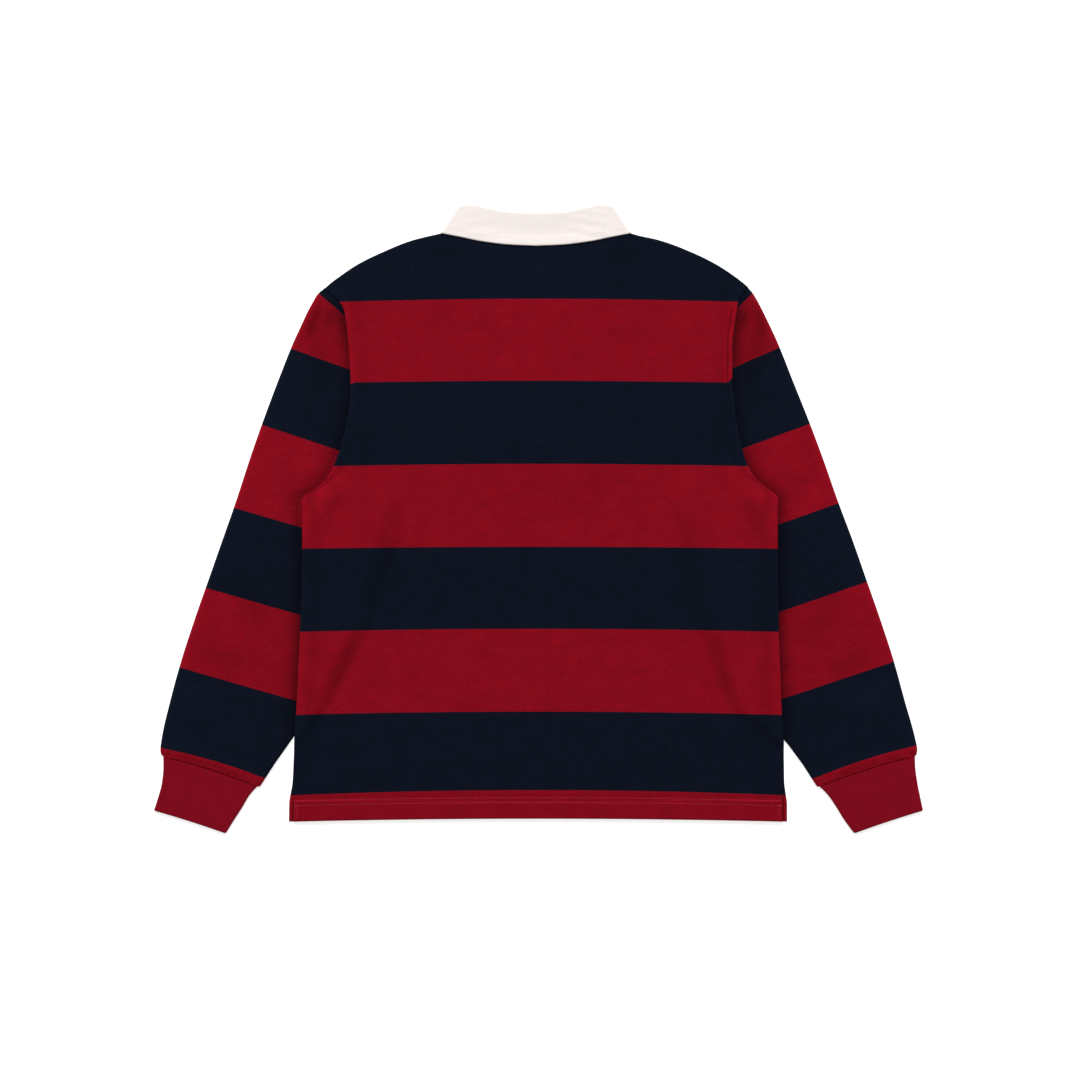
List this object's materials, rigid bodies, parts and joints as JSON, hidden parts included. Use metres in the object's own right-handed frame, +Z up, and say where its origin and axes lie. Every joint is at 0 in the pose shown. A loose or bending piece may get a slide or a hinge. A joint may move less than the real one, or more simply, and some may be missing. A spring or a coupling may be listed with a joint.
{
  "type": "rugby shirt",
  "caption": "Long-sleeved hooped rugby shirt with a twill collar and rib cuffs, laid flat on its front with the sleeves brought down.",
  "frame": {"origin": "on the floor under the middle of the shirt's box, where the laid shirt rests", "axes": "+Z up from the floor, +Y from the hem to the collar, +X towards the wearer's right sleeve"},
  "size_m": [0.9246, 0.7566, 0.0093],
  "materials": {
    "jersey_body": "matte cotton jersey in crimson and navy hoops",
    "jersey_sleeve": "matte cotton jersey in navy and crimson hoops",
    "rib": "matte rib knit",
    "twill": "matte cotton twill",
    "button_rubber": "satin moulded rubber"
  },
  "bodies": {
    "root": {"front": "jersey_body", "back": "jersey_body", "sleeve_left": "jersey_sleeve", "sleeve_right": "jersey_sleeve", "cuff_left": "rib", "cuff_right": "rib", "collar_fall": "twill", "collar_stand": "twill", "placket_over": "twill", "placket_under": "twill", "button_1": "button_rubber", "button_2": "button_rubber", "button_3": "button_rubber"}
  },
  "joints": []
}
